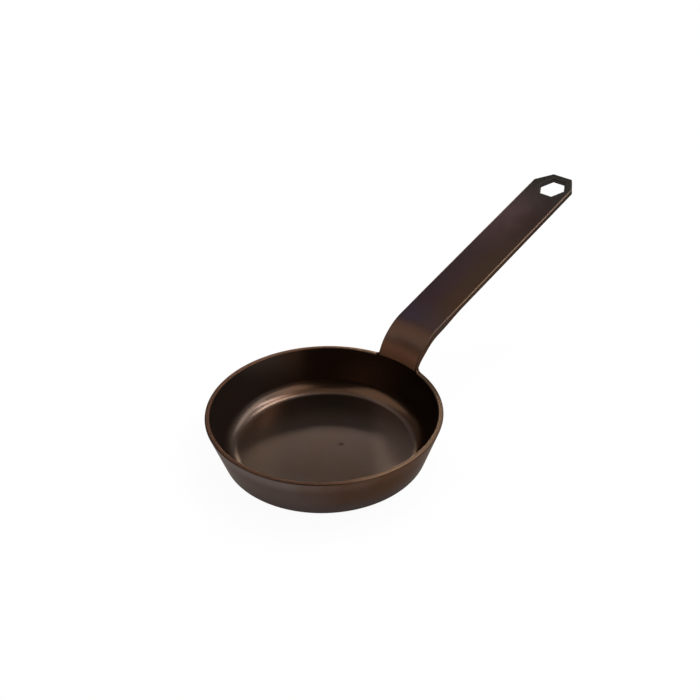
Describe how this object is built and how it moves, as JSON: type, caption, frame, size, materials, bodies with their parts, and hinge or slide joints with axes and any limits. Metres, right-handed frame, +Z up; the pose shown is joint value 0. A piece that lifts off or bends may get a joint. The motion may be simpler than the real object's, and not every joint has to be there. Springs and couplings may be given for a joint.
{
  "type": "skillet",
  "caption": "Small round skillet with a flared wall, a wide cove round its flat cooking floor, and a rigid flat strap handle that bends up from the rim to a hexagonal hanging hole.",
  "frame": {"origin": "centre of the foot's flat underside, on the axis of the bowl", "axes": "+Z up along the bowl's axis, +X along the handle from the bowl towards its hanging hole"},
  "size_m": [0.335, 0.152, 0.1054],
  "materials": {
    "bowl_iron": "smooth seasoned iron, semi-gloss",
    "handle_iron": "smooth seasoned iron, satin",
    "weld_iron": "dressed weld under seasoning, satin"
  },
  "bodies": {
    "root": {"pan_bowl": "bowl_iron", "handle": "handle_iron", "root_weld": "weld_iron"}
  },
  "joints": []
}
